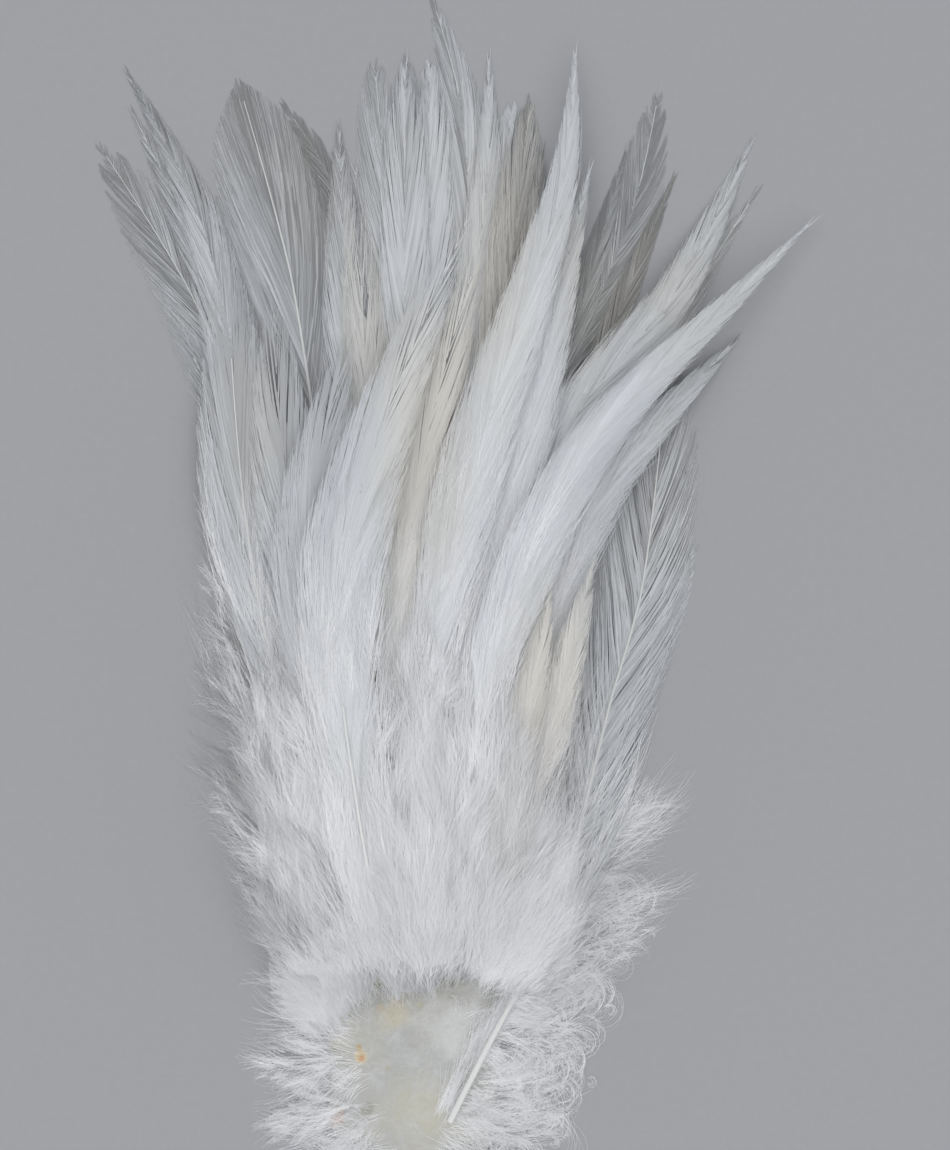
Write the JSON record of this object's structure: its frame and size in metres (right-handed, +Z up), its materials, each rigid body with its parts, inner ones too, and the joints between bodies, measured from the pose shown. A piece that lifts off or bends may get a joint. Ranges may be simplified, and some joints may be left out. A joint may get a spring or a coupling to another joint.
{
  "type": "feather bunch on a skin patch",
  "caption": "Bunch of long white hackle feathers with fluffy bases, still growing from a small patch of dried skin, lying flat.",
  "frame": {"origin": "on the flat underside of the skin patch, midway across it", "axes": "+Y from the skin patch towards the feather tips, +X across the bunch, +Z up from the surface that it lies on"},
  "size_m": [0.1178, 0.1976, 0.0195],
  "materials": {
    "skin": "dry, matt, cream with small ochre stains",
    "feather_white": "silky, cool white",
    "feather_cream": "silky, warm cream white",
    "down_white": "soft, matt, bright white"
  },
  "bodies": {
    "root": {"skin_patch": "skin", "down_right_near": "down_white", "down_right_low": "down_white", "down_right_middle": "down_white", "down_right_upper": "down_white", "down_right_high": "down_white", "down_end_left": "down_white", "down_end_right": "down_white", "down_left_near": "down_white", "down_left_low": "down_white", "down_left_middle": "down_white", "down_left_upper": "down_white", "down_left_high": "down_white", "down_left_long": "down_white", "down_left_far": "down_white", "feather_right_low": "feather_white", "feather_right_broad": "feather_white", "feather_back_tallest": "feather_white", "feather_right_open": "feather_white", "feather_left_broad": "feather_white", "feather_back_sparse": "feather_white", "feather_left_outer": "feather_white", "feather_right_warm": "feather_cream", "feather_right_shade": "feather_white", "feather_centre_round": "feather_white", "feather_left_inner": "feather_white", "feather_centre_right": "feather_white", "feather_left_fringe": "feather_white", "feather_right_thin": "feather_white", "feather_centre_far_left": "feather_white", "feather_centre_tall": "feather_white", "feather_centre_blunt": "feather_white", "feather_left_spear": "feather_white", "feather_right_third": "feather_white", "feather_centre_left": "feather_cream", "feather_centre_bright": "feather_white", "feather_left_shaft": "feather_white", "feather_centre_cream": "feather_cream", "feather_right_short": "feather_white", "feather_left_narrow": "feather_white", "feather_centre_edge": "feather_cream", "feather_right_second": "feather_white", "feather_cream_right": "feather_cream", "feather_cream_left": "feather_cream", "feather_middle": "feather_cream", "feather_front_shade": "feather_white", "feather_front_band": "feather_white", "body_left_far": "feather_white", "feather_front_tall": "feather_white", "feather_front_right": "feather_white", "body_right_far": "feather_white", "body_left": "feather_white", "body_middle": "feather_white", "body_right": "feather_white", "body_left_near": "feather_white", "body_right_near": "feather_white", "feather_front_left": "feather_white", "body_front": "feather_white"}
  },
  "joints": []
}
